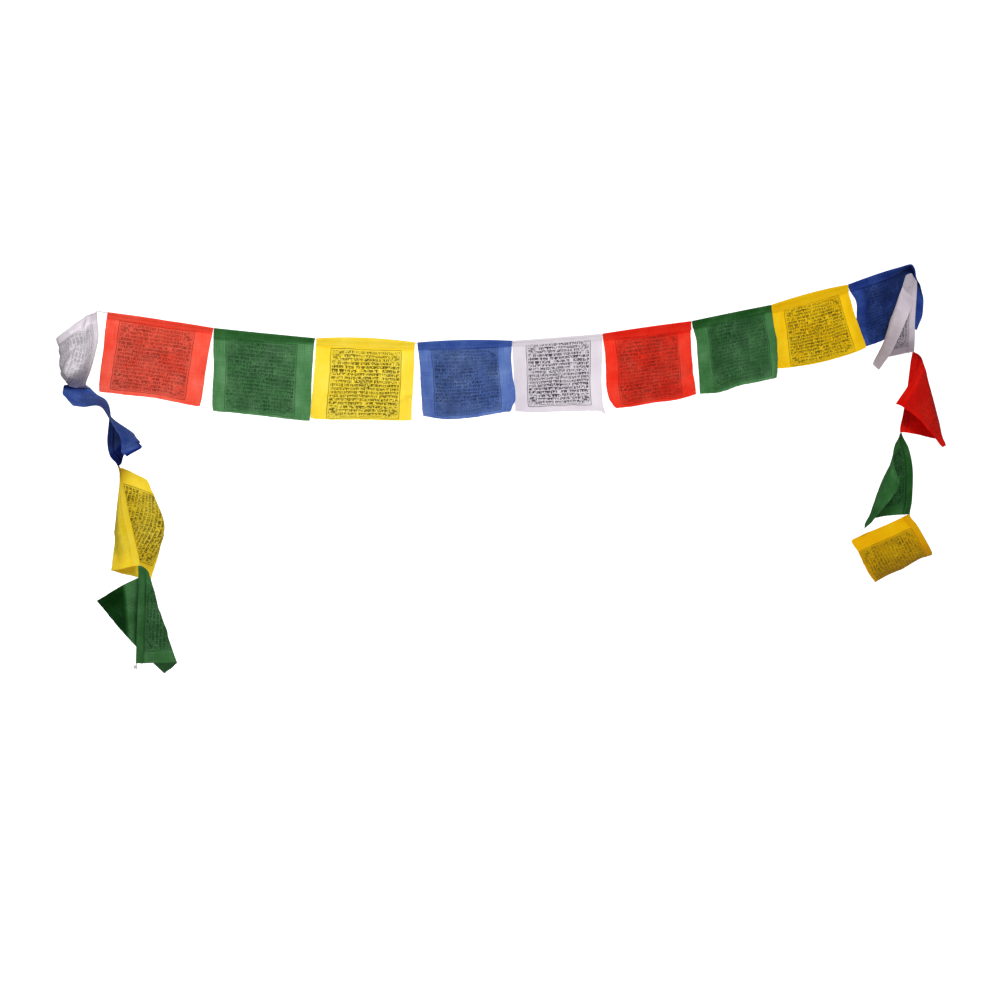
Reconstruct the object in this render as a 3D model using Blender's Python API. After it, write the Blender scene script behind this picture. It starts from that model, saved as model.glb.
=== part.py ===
"""A string of seventeen small cloth flags on one cord. The cord runs over two pins: nine flags hang
in the span between them and four hang down on each side, folded by their own weight.

Metres, +Z up. The origin is where the cord passes over the left pin, +X points along the span to the
right pin, and -Y is the side that the printed faces of the span look to."""

import math
from collections import namedtuple

import bpy
from mathutils import Vector

MM = 0.001

# Cloth and cord
FLAG_WIDTH = 170 * MM
FLAG_GAP = 3 * MM
CLOTH_THICKNESS = 1 * MM
CORD_RADIUS = 1 * MM
CORD_CLEARANCE = 0.6 * MM
CASING_DEPTH = 12 * MM
CASING_GAP = 0.8 * MM
KNOT_RADIUS = 1.9 * MM
KNOT_LENGTH = 5 * MM

# The two pins and the curve between them
PIN_SPAN = 1515 * MM
PIN_RISE = 31 * MM
SAG = 94 * MM
FIRST_SPAN_FLAG = 12 * MM
TAIL_HEADING = math.radians(20)

# How finely the solids are cut
SPAN_COLUMNS = 8
TAIL_COLUMNS = 6
SPAN_ROWS = 6
FOLD_REACH = 5 * MM
ROUTE_STEPS = 12
FOLD_SOFTNESS = 0.4
FOLD_STEPS = 6
CORD_POINTS_PER_SPAN_FLAG = 2

CASING_RADIUS = CORD_RADIUS + CORD_CLEARANCE + CLOTH_THICKNESS / 2

COLOURS = {
    "blue": (0.035, 0.085, 0.36),
    "white": (0.72, 0.69, 0.72),
    "red": (0.78, 0.035, 0.022),
    "green": (0.02, 0.15, 0.045),
    "yellow": (0.86, 0.58, 0.03),
}
COLOUR_ORDER = ("green", "yellow", "blue", "white", "red")
CORD_COLOUR = (0.62, 0.6, 0.55)

# Where the cord goes below each pin, in millimetres from that pin: to the right and away as seen from
# the front, and up. Each list starts at its pin and ends at the cord's end.
TailPoint = namedtuple("TailPoint", "across away up")
LEFT_TAIL = [
    TailPoint(*row)
    for row in (
        (0, 0, 0),
        (-3, 2, -8),
        (-2, 0, -19),
        (7, -34, -40),
        (1, -56, -78),
        (-17, -34, -109),
        (-19, -12, -119),
        (-11, 0, -133),
        (-2, 16, -150),
        (-1, 20, -178),
        (2, 0, -208),
        (9, -12, -229),
        (20, -13, -243),
        (23, -10, -264),
        (27, 8, -331),
        (37, 10, -396),
        (41, 2, -415),
        (40, -8, -448),
        (34, -8, -509),
        (25, 0, -587),
        (24, 0, -597),
    )
]
RIGHT_TAIL = [
    TailPoint(*row)
    for row in (
        (0, 0, 0),
        (7, 2, -5),
        (12, 6, -14),
        (14, 4, -27),
        (13, -6, -37),
        (9, -30, -58),
        (4, -52, -100),
        (6, -50, -134),
        (13, -24, -164),
        (14, -10, -186),
        (16, 3, -239),
        (16, 8, -291),
        (18, 4, -331),
        (25, -4, -363),
        (30, -10, -403),
        (34, -6, -465),
        (34, 0, -498),
        (46, -6, -519),
        (69, -2, -556),
        (88, 16, -584),
        (90, 38, -594),
        (86, 60, -592),
        (80, 80, -585),
        (77, 89, -581),
    )
]

# The flags of the span that hang clear. Drop and offsets in millimetres, leans in degrees from plumb,
# positive to the right. Away offsets are those of the hem, the belly is that of the middle.
Hang = namedtuple("Hang", "drop lean_left lean_right away_left away_middle away_right belly")
SPAN_FLAGS = [
    Hang(*row)
    for row in (
        (127, -7.5, -12.5, 5, -8, 6, -5),
        (135, -4.5, -7.5, -5, 5, -4, 4),
        (133, -6.0, -5.0, 6, -5, 3, -4),
        (129, 3.0, 4.0, 8, -8, -36, -6),
        (134, 3.5, 5.0, 8, -4, -16, 2),
        (133, 9.0, 10.0, -5, 5, 7, -4),
        (138, 12.0, 8.0, 5, -3, -24, 3),
        (127, 10.5, 7.0, 8, -5, -8, -4),
    )
]

# The folded flags: a row for each section across the cloth, at a share of the casing's length. Each
# point is in millimetres from the casing: across, away and up. The cloth runs from the casing past
# `near`, turns at `fold`, comes back over `back` and ends at `hem`.
Section = namedtuple("Section", "share near fold back hem")
FOLDED_FLAGS = {
    1: [
        Section(0.0, (38, -8, 4), (64, 4, 0), (47, 32, -22), (32, 56, -40)),
        Section(0.5, (25, -8, 4), (40, 4, 0), (8, 18, -27), (-26, 24, -52)),
        Section(1.0, (9, -6, -2), (14, 4, -10), (-34, 14, -38), (-84, 26, -72)),
    ],
    2: [
        Section(0.0, (-22, -6, -14), (-50, 4, -12), (-16, 40, -32), (4, 50, -46)),
        Section(0.5, (-16, -9, -4), (-24, 9, -9), (50, 18, -30), (40, 30, -42)),
        Section(1.0, (-11, -11, -4), (-13, 9, -9), (42, 16, -36), (22, 30, -62)),
    ],
    3: [
        Section(0.0, (14, -10, 6), (38, -26, 22), (54, -48, 36), (32, -84, 34)),
        Section(0.35, (20, -8, 0), (46, -16, -8), (60, -42, -8), (34, -82, 6)),
        Section(0.58, (10, -34, 5), (20, -66, 9), (28, -94, 13), (36, -122, 17)),
        Section(0.7, (10, -34, 5), (20, -66, 9), (28, -94, 13), (36, -122, 17)),
        Section(1.0, (-14, -10, -8), (-30, -30, 8), (-32, -56, 0), (-4, -96, -16)),
    ],
    4: [
        Section(0.0, (-14, 2, -4), (-22, 38, -14), (-28, 70, -22), (-42, 104, -32)),
        Section(0.5, (-6, -28, -2), (-36, -36, -6), (-68, -8, -10), (-68, 26, -14)),
        Section(1.0, (-14, -16, 2), (-26, -34, -10), (-50, -26, -30), (-64, 10, -44)),
    ],
    13: [
        Section(0.0, (20, 4, -34), (22, 8, -62), (20, 6, -88), (34, 4, -120)),
        Section(0.45, (6, 10, -34), (10, 14, -64), (14, 12, -92), (18, 8, -126)),
        Section(0.7, (2, 22, -22), (9, 25, -52), (12, 20, -86), (12, 12, -120)),
        Section(0.8, (0, 26, -13), (8, 28, -45), (8, 20, -92), (8, 14, -126)),
        Section(0.88, (2, 26, -6), (8, 30, -38), (8, 24, -78), (6, 16, -112)),
        Section(1.0, (12, 18, -8), (20, 36, -32), (14, 36, -65), (4, 24, -96)),
    ],
    14: [
        Section(0.0, (-14, -6, 18), (-36, -24, 14), (-50, -50, -8), (-30, -80, -28)),
        Section(0.5, (-28, -2, -4), (-59, -14, 2), (-66, -42, 6), (-44, -74, -2)),
        Section(1.0, (-40, -2, -8), (-82, -14, -14), (-90, -34, -22), (-80, -58, -32)),
    ],
    15: [
        Section(0.0, (10, -6, -4), (14, -18, -12), (-12, -38, -52), (-46, -52, -94)),
        Section(0.5, (20, -6, 2), (44, -22, 2), (30, -50, -24), (8, -66, -52)),
        Section(1.0, (36, 4, -4), (77, -14, -8), (74, -38, -16), (58, -60, -18)),
    ],
    16: [
        Section(0.0, (-14, -12, 0), (-32, -34, -10), (-36, -56, -44), (-24, -64, -82)),
        Section(0.5, (-30, -4, -2), (-66, -18, -4), (-74, -42, -20), (-68, -64, -44)),
        Section(1.0, (-40, -2, 0), (-82, -14, -6), (-97, -32, -12), (-106, -54, -18)),
    ],
    17: [
        Section(0.0, (-32, -8, -12), (-62, -12, -24), (-90, -8, -38), (-114, -4, -52)),
        Section(0.5, (-31, -6, -14), (-60, -10, -29), (-88, -6, -46), (-112, 0, -62)),
        Section(1.0, (-26, 12, -12), (-50, -6, -22), (-76, 12, -32), (-100, -6, -42)),
    ],
}

# Where a flag whose cord bends sharply has its columns, as shares of its casing
COLUMN_SHARES = {
    2: (0, 0.17, 0.33, 0.5, 0.67, 0.83, 0.92, 1),
    3: (0, 0.11, 0.22, 0.33, 0.44, 0.56, 0.67, 0.78, 0.86, 0.93, 1),
    4: (0, 0.08, 0.17, 0.33, 0.5, 0.67, 0.83, 0.92, 1),
    13: (0, 0.15, 0.3, 0.45, 0.6, 0.7, 0.75, 0.79, 0.82, 0.85, 0.88, 0.92, 0.96, 1),
}

ACROSS = Vector((math.cos(TAIL_HEADING), -math.sin(TAIL_HEADING), 0))
AWAY = Vector((math.sin(TAIL_HEADING), math.cos(TAIL_HEADING), 0))
UP = Vector((0, 0, 1))


def clear_scene():
    for old in list(bpy.data.objects):
        bpy.data.objects.remove(old, do_unlink=True)


def local(offset):
    """A millimetre offset across, away and up as a vector in metres."""
    return (ACROSS * offset[0] + AWAY * offset[1] + UP * offset[2]) * MM


def rounded(points, softness):
    """The broken line through points with each corner eased by a short curve."""
    line = [points[0]]
    for before, corner, after in zip(points, points[1:], points[2:]):
        cut = softness * min((corner - before).length, (after - corner).length)
        start = corner + (before - corner).normalized() * cut
        end = corner + (after - corner).normalized() * cut
        for step in range(FOLD_STEPS + 1):
            t = step / FOLD_STEPS
            line.append(start.lerp(corner, t).lerp(corner.lerp(end, t), t))
    line.append(points[-1])
    return line


def smooth_through(points, steps):
    """A smooth curve through every point, as a fine line."""
    padded = [points[0] * 2 - points[1], *points, points[-1] * 2 - points[-2]]
    line = []
    for a, b, c, d in zip(padded, padded[1:], padded[2:], padded[3:]):
        for step in range(steps):
            t = step / steps
            line.append(
                (b * 2 + (c - a) * t + (a * 2 - b * 5 + c * 4 - d) * t**2 + (b * 3 - a - c * 3 + d) * t**3)
                / 2
            )
    line.append(points[-1])
    return line


class Line:
    """A fine line that can be read by the distance along it."""

    def __init__(self, points):
        self.points = points
        self.along = [0.0]
        for a, b in zip(points, points[1:]):
            self.along.append(self.along[-1] + (b - a).length)

    def at(self, distance):
        last = len(self.points) - 2
        i = 0
        while i < last and self.along[i + 1] < distance:
            i += 1
        length = self.along[i + 1] - self.along[i]
        return self.points[i].lerp(self.points[i + 1], (distance - self.along[i]) / length)

    def direction(self, distance, reach=0.002):
        return (self.at(distance + reach) - self.at(distance - reach)).normalized()


def span_point(x):
    share = x / PIN_SPAN
    return Vector((x, 0, PIN_RISE * share - 4 * SAG * share * (1 - share)))


def cord_route():
    """The whole cord from its left end to its right end, and the distances of the two pins."""
    right_pin = span_point(PIN_SPAN)
    left = [local(row) for row in reversed(LEFT_TAIL)]
    right = [right_pin + local(row) for row in RIGHT_TAIL]
    middle = [span_point(PIN_SPAN * share) for share in (0.006, 0.02, 0.06, *[i / 12 for i in range(1, 12)])]
    middle += [span_point(PIN_SPAN * share) for share in (0.96, 0.985)]
    route = Line(smooth_through(left + middle + right, ROUTE_STEPS))
    left_pin_at = route.along[(len(left) - 1) * ROUTE_STEPS]
    return route, left_pin_at


def casing_starts(left_pin_at):
    """The distance along the cord at which each flag's casing starts, by flag number."""
    pitch = FLAG_WIDTH + FLAG_GAP
    left_tail_start = left_pin_at - 4 * MM - FLAG_WIDTH
    starts = {number: left_tail_start - (4 - number) * pitch for number in range(1, 5)}
    starts.update({number: left_pin_at + FIRST_SPAN_FLAG + (number - 5) * pitch for number in range(5, 18)})
    return starts


def blend(rows, share, read):
    """Reads a smooth value between table rows, which are at their own shares."""
    i = 0
    while i < len(rows) - 2 and rows[i + 1].share < share:
        i += 1
    a, b = rows[i], rows[i + 1]
    width = b.share - a.share
    slope_a = (read(b) - read(a)) / width
    slope_b = slope_a
    if i > 0:
        slope_a = (read(b) - read(rows[i - 1])) / (b.share - rows[i - 1].share)
    if i + 2 < len(rows):
        slope_b = (read(rows[i + 2]) - read(a)) / (rows[i + 2].share - a.share)
    t = (share - a.share) / width
    return (
        read(a) * (2 * t**3 - 3 * t**2 + 1)
        + slope_a * width * (t**3 - 2 * t**2 + t)
        + read(b) * (3 * t**2 - 2 * t**3)
        + slope_b * width * (t**3 - t**2)
    )


def folded_fall(rows, share):
    """The cloth's fall below the casing on a folded flag, as offsets from the cord, and where it turns."""
    stops = [Vector((0, 0, 0))]
    for name in ("near", "fold", "back", "hem"):
        stops.append(blend(rows, share, lambda row: local(getattr(row, name))))
    fall = Line(rounded(stops, FOLD_SOFTNESS))
    corners = [1 + FOLD_STEPS // 2 + i * (FOLD_STEPS + 1) for i in range(3)]
    return fall, [fall.along[corner] for corner in corners]


def folded_rows(length, near, fold, back):
    """Row distances below the casing that put rows of points at each turn."""
    fold = max(fold, CASING_DEPTH + 2 * FOLD_REACH)
    before, after = fold - FOLD_REACH, fold + FOLD_REACH
    near = min(max(near, CASING_DEPTH + FOLD_REACH / 2), before - FOLD_REACH / 2)
    rows = [near, before, fold, after, (after + back) / 2]
    return [*rows, back - FOLD_REACH, back + FOLD_REACH, (back + length) / 2, length]


def hanging_fall(row, share):
    """The cloth's fall below the casing on a flag of the span, as offsets from the cord."""
    lean = math.radians(row.lean_left + (row.lean_right - row.lean_left) * share)
    ends = row.away_left * (1 - share) ** 2 + row.away_right * share**2
    hem_away = ends + 2 * row.away_middle * share * (1 - share)
    down = Vector((math.sin(lean), 0, -math.cos(lean)))
    belly = row.belly * (1 - (2 * share - 1) ** 2)
    middle = down * (row.drop * MM / 2) + Vector((0, (hem_away / 3 + belly) * MM, 0))
    hem = down * (row.drop * MM) + Vector((0, hem_away * MM, 0))
    return Line(rounded([Vector((0, 0, 0)), middle, hem], FOLD_SOFTNESS))


def column(fall, rows, cord_point, cord_direction):
    """One line of cloth points: the casing's flap, the turn over the cord, and the body to the hem."""
    first = (fall.at(CASING_DEPTH / 2) - fall.at(0)).normalized()
    down = (first - cord_direction * first.dot(cord_direction)).normalized()
    face = down.cross(cord_direction)

    def body(distance):
        square = max(0.0, 1 - distance / (3 * CASING_DEPTH)) ** 2
        below = fall.at(distance).lerp(down * distance, square)
        return cord_point + below - face * CASING_RADIUS * square

    flap_gap = CLOTH_THICKNESS + CASING_GAP
    points = [
        body(CASING_DEPTH) + face * flap_gap,
        body(CASING_DEPTH / 2) + face * (flap_gap + CASING_RADIUS / 2),
    ]
    for step in range(5):
        turn = math.radians(90 - 45 * step)
        points.append(cord_point + (face * math.sin(turn) - down * math.cos(turn)) * CASING_RADIUS)
    points += [body(distance) for distance in (CASING_DEPTH / 2, CASING_DEPTH, *rows)]
    return points


def cloth_material(colour):
    name = f"{colour}_voile"
    material = bpy.data.materials.get(name)
    if material is None:
        material = plain_material(name, COLOURS[colour], 0.85)
    return material


def plain_material(name, colour, roughness):
    material = bpy.data.materials.new(name)
    material.use_nodes = True
    shader = material.node_tree.nodes["Principled BSDF"]
    shader.inputs["Base Color"].default_value = (*colour, 1)
    shader.inputs["Roughness"].default_value = roughness
    shader.inputs["Metallic"].default_value = 0
    return material


def add_object(name, data, material):
    piece = bpy.data.objects.new(name, data)
    data.materials.append(material)
    bpy.context.collection.objects.link(piece)
    return piece


def flag_colour(number):
    return COLOUR_ORDER[(number - 1) % len(COLOUR_ORDER)]


def column_shares(number):
    if number in COLUMN_SHARES:
        return COLUMN_SHARES[number]
    columns = TAIL_COLUMNS if number in FOLDED_FLAGS else SPAN_COLUMNS
    return [i / columns for i in range(columns + 1)]


def make_flag(number, route, start):
    """One flag: a sheet of cloth points, thickened evenly to both sides."""
    columns = []
    for share in column_shares(number):
        distance = start + FLAG_WIDTH * share
        if number in FOLDED_FLAGS:
            fall, turns = folded_fall(FOLDED_FLAGS[number], share)
            rows = folded_rows(fall.along[-1], *turns)
        else:
            fall = hanging_fall(SPAN_FLAGS[number - 5], share)
            rest = fall.along[-1] - CASING_DEPTH
            rows = [CASING_DEPTH + rest * row / SPAN_ROWS for row in range(1, SPAN_ROWS + 1)]
        columns.append(column(fall, rows, route.at(distance), route.direction(distance)))

    height = len(columns[0])
    vertices = [point for line in columns for point in line]
    faces = []
    for i in range(len(columns) - 1):
        for j in range(height - 1):
            a = i * height + j
            faces.append((a, a + 1, a + 1 + height, a + height))
    colour = flag_colour(number)
    name = f"flag_{number:02d}_{colour}"
    mesh = bpy.data.meshes.new(name)
    mesh.from_pydata(vertices, [], faces)
    mesh.shade_smooth()
    flag = add_object(name, mesh, cloth_material(colour))
    thicken = flag.modifiers.new("thickness", "SOLIDIFY")
    thicken.thickness = CLOTH_THICKNESS
    thicken.offset = 0
    return flag


def cord_distances(route, starts):
    """Where the cord has a point: at the flags' own columns, so that it runs true inside each casing."""
    distances = []
    for number, start in starts.items():
        shares = column_shares(number)
        if 5 <= number <= 12:
            shares = [i / CORD_POINTS_PER_SPAN_FLAG for i in range(CORD_POINTS_PER_SPAN_FLAG + 1)]
        distances += [start + FLAG_WIDTH * share for share in shares]
    return sorted(distances)


def make_cord(route, starts, left_pin_at):
    """The cord as one tube, with a knot past the first casing and past the last."""
    distances = cord_distances(route, starts)
    distances += [left_pin_at - 1.5 * MM, left_pin_at + 2 * MM, left_pin_at + 6 * MM]
    distances.sort()
    ends = []
    for end, outward in ((distances[0], -1), (distances[-1], 1)):
        knot = end + outward * (FLAG_GAP + KNOT_LENGTH / 2)
        ends.append([(knot - outward * KNOT_LENGTH / 2, 1.0), (knot, KNOT_RADIUS / CORD_RADIUS)])
        ends[-1] += [(knot + outward * KNOT_LENGTH / 2, 1.0), (knot + outward * KNOT_LENGTH, 0.8)]
    stations = ends[0][::-1] + [(distance, 1.0) for distance in distances] + ends[1]

    curve = bpy.data.curves.new("cord", "CURVE")
    curve.dimensions = "3D"
    curve.bevel_depth = CORD_RADIUS
    curve.bevel_resolution = 2
    curve.resolution_u = 1
    curve.render_resolution_u = 0
    curve.use_fill_caps = True
    spline = curve.splines.new("POLY")
    spline.points.add(len(stations) - 1)
    for point, (distance, radius) in zip(spline.points, stations):
        point.co = (*route.at(distance), 1)
        point.radius = radius
    return add_object("cord", curve, plain_material("cotton_cord", CORD_COLOUR, 0.9))


def main():
    clear_scene()
    route, left_pin_at = cord_route()
    starts = casing_starts(left_pin_at)
    for number, start in starts.items():
        make_flag(number, route, start)
    make_cord(route, starts, left_pin_at)


main()
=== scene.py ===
"""Dresses a string of seventeen small printed cotton flags on one cord.

Metres, +Z up. The origin is where the cord passes over the left pin, +X points along the span to the
right pin, and -Y is the side that the printed faces of the span look to."""

import math
from collections import namedtuple

import bpy
import numpy as np
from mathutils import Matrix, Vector, noise


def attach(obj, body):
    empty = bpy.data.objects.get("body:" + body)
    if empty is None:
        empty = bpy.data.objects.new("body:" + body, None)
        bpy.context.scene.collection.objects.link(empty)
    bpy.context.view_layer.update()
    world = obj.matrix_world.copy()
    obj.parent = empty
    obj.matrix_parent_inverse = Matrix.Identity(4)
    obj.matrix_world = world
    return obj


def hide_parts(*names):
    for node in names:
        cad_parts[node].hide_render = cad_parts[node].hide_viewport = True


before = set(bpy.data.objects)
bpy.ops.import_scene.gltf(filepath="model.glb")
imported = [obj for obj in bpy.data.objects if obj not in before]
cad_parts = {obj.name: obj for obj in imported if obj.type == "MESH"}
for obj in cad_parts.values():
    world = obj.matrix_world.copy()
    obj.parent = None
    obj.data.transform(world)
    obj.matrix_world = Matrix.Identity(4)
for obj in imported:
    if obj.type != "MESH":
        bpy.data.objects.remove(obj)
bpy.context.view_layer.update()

MM = 0.001

# Cloth and cord
FLAG_WIDTH = 172 * MM
FLAG_DROP = 130 * MM
FLAG_GAP = 1 * MM
CASING_DEPTH = 12 * MM
CASING_RADIUS = 1.45 * MM
CLOTH_THICKNESS = 0.3 * MM
SEWN_GAP = 0.9 * MM
TURNED_LIFT = 1.4 * MM
KNOT_LENGTH = 5 * MM
KNOT_SCALE = 0.95 * MM
KNOT_TURN = np.radians(np.linspace(75, 405, 40))

# How far an outline's changes reach: round a corner along the hem, round it up the side, and inwards
HEM_CORNER = 6 * MM
SIDE_CORNER = 7 * MM
SIDE_REACH = 40 * MM

# How far below the seam the pucker dies out and the cloth comes free to wave, in millimetres
PUCKER_REACH = 11
FREE_REACH = 70

# Marks that the cloth keeps from being pressed flat: across the width or down the drop, and the height
PRESSED_ACROSS = ((57, 0.2), (113, -0.18))
PRESSED_DOWN = (66, 0.2)

# How much darker a painted shadow makes the cloth just below a seam, as a share of its dye, and how softly a
# corner of painted shade ends, in millimetres
SEAM_PAINTED_SHADOW = 0.4
PAINTED_SHADE_EDGE = 7.0

# The two pins and the curve between them
PIN_SPAN = 1515 * MM
PIN_RISE = 31 * MM
SAG = 94 * MM
FIRST_SPAN_FLAG = 11 * MM
LAST_TAIL_FLAG = 3 * MM
TAIL_HEADING = math.radians(20)

# How finely the cloth is cut
COLUMNS = 92
FLAP_ROWS = 7
TURN_ROWS = 6
BODY_ROWS = 70
ROUTE_STEPS = 12
FOLD_SOFTNESS = (0.4, 0.2, 0.3)
HANG_SOFTNESS = (0.4,)
FOLD_STEPS = 10

CAMERA_PLACE = (-0.154, -2.274, 0.240)
CAMERA_TURN = (math.radians(76), 0, math.radians(-20))
CAMERA_LENS = 50

# Where the cord goes below each pin, in millimetres from that pin: to the right and away as seen from
# the front, and up. Each list starts at its pin and ends at the cord's end.
LEFT_TAIL = [
    (0, 0, 0),
    (-3, 2, -8),
    (-2, 0, -19),
    (7, -34, -40),
    (1, -56, -78),
    (-17, -34, -109),
    (-19, -12, -119),
    (-11, 0, -133),
    (-2, 22, -148),
    (-1, 34, -174),
    (2, 4, -208),
    (9, -12, -229),
    (19, -12, -243),
    (22, -8, -264),
    (27, 2, -331),
    (37, 2, -396),
    (40, -2, -415),
    (40, -8, -448),
    (34, -8, -509),
    (25, 0, -587),
    (24, 0, -597),
]
RIGHT_TAIL = [
    (0, 0, 0),
    (7, 2, -5),
    (12, 6, -14),
    (14, 4, -27),
    (13, -6, -37),
    (6, -31, -58),
    (-1, -56, -98),
    (2, -53, -134),
    (11, -24, -164),
    (13, -10, -186),
    (14, 3, -239),
    (11, 8, -291),
    (7, 6, -329),
    (21, -4, -361),
    (30, -10, -403),
    (34, -6, -465),
    (34, 0, -498),
    (48, -6, -517),
    (72, -2, -554),
    (90, 16, -582),
    (91, 38, -592),
    (86, 60, -592),
    (80, 80, -585),
    (77, 89, -581),
]

# The flags of the span that hang clear. Drop and offsets in millimetres, leans in degrees from plumb,
# positive to the right. Away offsets are those of the hem, the belly is that of the middle.
Hang = namedtuple("Hang", "drop lean_left lean_right away_left away_middle away_right belly")
SPAN_FLAGS = {
    5: Hang(127, -11.6, -12.2, 5, -8, 6, -5),
    6: Hang(135, -4.5, -5.6, -5, 5, -4, 4),
    7: Hang(134, -6.0, -3.0, 6, -5, 3, -4),
    8: Hang(129, 4.2, -2.0, 8, -8, -36, -6),
    9: Hang(134, 3.5, -1.2, 8, -4, -16, 2),
    10: Hang(133, 7.4, 7.4, -5, 5, 7, -4),
    11: Hang(138, 10.1, 6.4, 5, -3, -24, 3),
    12: Hang(127, 10.5, 18.6, 8, -7, -18, -4),
}

# The folded flags: a row for each section across the cloth, at a share of the casing's length. Each
# point is in millimetres from the casing: across, away and up. The cloth runs from the casing past
# `near`, turns at `fold`, comes back over `back` and ends at `hem`.
Section = namedtuple("Section", "share near fold back hem")
FOLDED_FLAGS = {
    1: [
        (0.0, (38, -8, 3), (68, 4, 0), (50, 34, -22), (35, 40, -34)),
        (0.5, (25, -8, 3), (40, 4, -3), (5, 30, -31), (-24, 24, -49)),
        (1.0, (9, -6, -4), (14, 6, -14), (-33, 20, -38), (-82, 26, -69)),
    ],
    2: [
        (0.0, (-22, -6, -4), (-50, 4, -10), (-19, 40, -32), (4, 50, -41)),
        (0.5, (-14, -9, -5), (-25, 9, -12), (54, 18, -33), (42, 32, -48)),
        (1.0, (4, -10, -1), (5, 6, -4), (46, 16, -29), (28, 40, -60)),
    ],
    3: [
        (0.0, (15, -18, 24), (42, -34, 46), (57, -58, 42), (38, -86, 33)),
        (0.35, (24, -10, 12), (46, -22, 6), (61, -48, 2), (44, -84, 6)),
        (0.58, (8, -34, 5), (17, -66, 9), (24, -94, 12), (32, -122, 15)),
        (0.7, (7, -36, 6), (13, -68, 12), (19, -98, 14), (26, -126, 16)),
        (1.0, (-12, -14, 6), (-28, -34, 10), (-23, -60, 0), (4, -98, -12)),
    ],
    4: [
        (0.0, (-14, 2, -2), (-23, 38, -8), (-28, 70, -14), (-41, 104, -22)),
        (0.25, (-8, -30, 0), (-21, -44, 1), (-38, -8, 2), (-41, 36, -6)),
        (0.5, (-8, -32, -3), (-30, -44, -6), (-52, -12, -8), (-57, 24, -14)),
        (1.0, (-14, -18, -5), (-29, -38, -17), (-57, -30, -36), (-68, 12, -50)),
    ],
    13: [
        (0.0, (20, 4, -34), (22, 8, -62), (20, 6, -88), (34, 4, -120)),
        (0.45, (6, 10, -34), (10, 14, -64), (14, 12, -92), (18, 8, -126)),
        (0.7, (2, 22, -22), (9, 25, -52), (12, 20, -86), (12, 12, -120)),
        (0.8, (0, 26, -13), (8, 28, -45), (8, 20, -92), (8, 14, -126)),
        (0.88, (2, 26, -6), (8, 30, -38), (8, 24, -78), (6, 16, -112)),
        (1.0, (14, 18, -8), (29, 36, -40), (29, 36, -72), (16, 24, -100)),
    ],
    14: [
        (0.0, (-11, -8, 17), (-29, -30, 13), (-42, -57, -8), (-26, -86, -28)),
        (0.5, (-25, -8, -4), (-51, -26, 1), (-58, -54, 4), (-42, -84, -4)),
        (1.0, (-40, -4, -8), (-79, -18, -13), (-88, -40, -19), (-82, -64, -26)),
    ],
    15: [
        (0.0, (10, -6, -4), (13, -18, -12), (-12, -38, -52), (-42, -52, -93)),
        (0.5, (20, -6, 3), (41, -22, 2), (30, -50, -23), (10, -66, -49)),
        (1.0, (40, 4, -6), (84, -12, -15), (80, -36, -19), (68, -52, -19)),
    ],
    16: [
        (0.0, (-5, -12, -5), (-20, -34, -14), (-28, -56, -50), (-14, -64, -86)),
        (0.5, (-33, -4, -9), (-66, -18, -11), (-76, -42, -26), (-68, -64, -50)),
        (1.0, (-40, -2, -2), (-84, -14, -7), (-97, -32, -12), (-102, -52, -17)),
    ],
    17: [
        (0.0, (-32, -8, -12), (-62, -12, -24), (-90, -8, -38), (-114, -4, -52)),
        (0.5, (-31, -6, -14), (-60, -10, -29), (-88, -6, -46), (-114, 0, -63)),
        (1.0, (-26, 12, -12), (-51, -6, -23), (-78, 12, -34), (-104, -6, -46)),
    ],
}
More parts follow.
